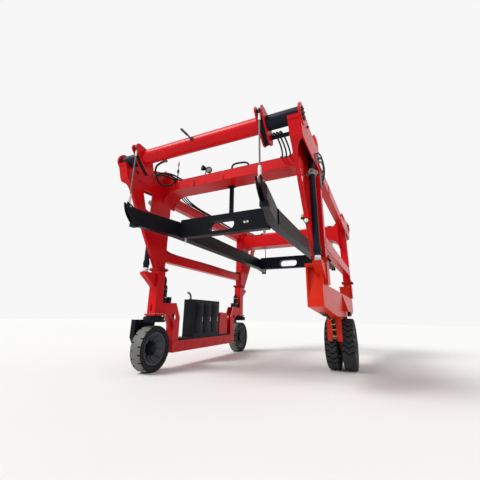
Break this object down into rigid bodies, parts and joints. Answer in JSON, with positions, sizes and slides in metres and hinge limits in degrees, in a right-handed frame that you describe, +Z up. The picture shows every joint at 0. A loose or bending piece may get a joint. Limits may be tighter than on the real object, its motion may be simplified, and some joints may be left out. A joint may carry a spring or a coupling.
{
  "type": "straddle carrier",
  "caption": "Remote-controlled container straddle carrier: red portal gantry on a steered left frame and a driven right frame, raised by corner cylinders, with a slung black spreader.",
  "frame": {"origin": "on the ground, at the centre of the machine's box seen from above", "axes": "+Z up, +Y along the travel direction and the container's length, +X from the steered left frame to the driven right frame"},
  "size_m": [5.27, 9.212, 5.75],
  "materials": {
    "red_paint": "gloss signal red machine enamel",
    "orange_red_paint": "gloss orange-red machine enamel",
    "black_paint": "satin charcoal-black enamel",
    "chrome_rod": "hard chrome, polished",
    "steel_rope": "galvanised steel, dull",
    "tyre_rubber": "matt black rubber with pale dust",
    "black_plastic": "moulded black",
    "amber_lens": "clear amber"
  },
  "bodies": {
    "left_frame": {"left_beam": "red_paint", "left_column_near": "red_paint", "left_column_far": "red_paint", "left_masts": "red_paint", "left_lift_rods": "chrome_rod", "power_pack_base": "black_paint", "engine_block": "black_paint", "power_pack_hood": "black_paint", "hydraulic_tank": "red_paint"},
    "near_steer": {"near_fork": "black_paint"},
    "near_wheel": {"near_wheel_hub": "black_paint", "near_tyre": "tyre_rubber"},
    "far_steer": {"far_fork": "black_paint"},
    "far_wheel": {"far_wheel_hub": "black_paint", "far_tyre": "tyre_rubber"},
    "gantry": {"leg_near_left": "red_paint", "leg_near_right": "red_paint", "leg_far_left": "red_paint", "leg_far_right": "red_paint", "crossbeam_near": "red_paint", "crossbeam_far": "red_paint", "upper_side_beams": "red_paint", "lower_side_beams": "red_paint", "fixed_tubes": "black_paint", "lift_barrels": "black_paint", "shift_rods": "chrome_rod", "floodlights": "black_plastic", "beacons": "amber_lens"},
    "hoist": {"sliding_tubes": "red_paint", "sling_saddles": "black_paint", "slings": "steel_rope", "shift_barrels": "black_paint", "spreader_side_beams": "black_paint", "spreader_cross_beams": "black_paint", "lock_pins": "steel_rope"},
    "right_frame": {"right_beam": "orange_red_paint", "right_masts": "red_paint", "right_lift_rods": "chrome_rod", "wheel_hangers": "orange_red_paint"},
    "drive_wheels": {"drive_hubs": "black_paint", "drive_tyres": "tyre_rubber"}
  },
  "joints": [
    {"name": "gantry_lift", "type": "slide", "parent": "left_frame", "child": "gantry", "axis": [0, 0, 1], "range_m": [0, 1.95]},
    {"name": "right_lift", "type": "slide", "parent": "gantry", "child": "right_frame", "axis": [0, 0, 1], "range_m": [-1.95, 0]},
    {"name": "hoist_shift", "type": "slide", "parent": "gantry", "child": "hoist", "axis": [1, 0, 0], "range_m": [-0.12, 0.24]},
    {"name": "near_steering", "type": "hinge", "parent": "left_frame", "child": "near_steer", "pos_m": [-2.195, -2.63, 1.3], "axis": [0, 0, 1], "range_deg": [-90, 90]},
    {"name": "far_steering", "type": "hinge", "parent": "left_frame", "child": "far_steer", "pos_m": [-2.195, 2.63, 1.3], "axis": [0, 0, 1], "range_deg": [-90, 90]},
    {"name": "near_wheel_spin", "type": "hinge", "parent": "near_steer", "child": "near_wheel", "pos_m": [-2.195, -2.63, 0.565], "axis": [1, 0, 0], "continuous": true},
    {"name": "far_wheel_spin", "type": "hinge", "parent": "far_steer", "child": "far_wheel", "pos_m": [-2.195, 2.63, 0.565], "axis": [1, 0, 0], "continuous": true},
    {"name": "drive_wheel_spin", "type": "hinge", "parent": "right_frame", "child": "drive_wheels", "pos_m": [2.245, 0.4, 0.69], "axis": [1, 0, 0], "continuous": true}
  ],
  "couplings": [
    {"joint": "right_lift", "follows": "gantry_lift", "ratio": -1}
  ]
}
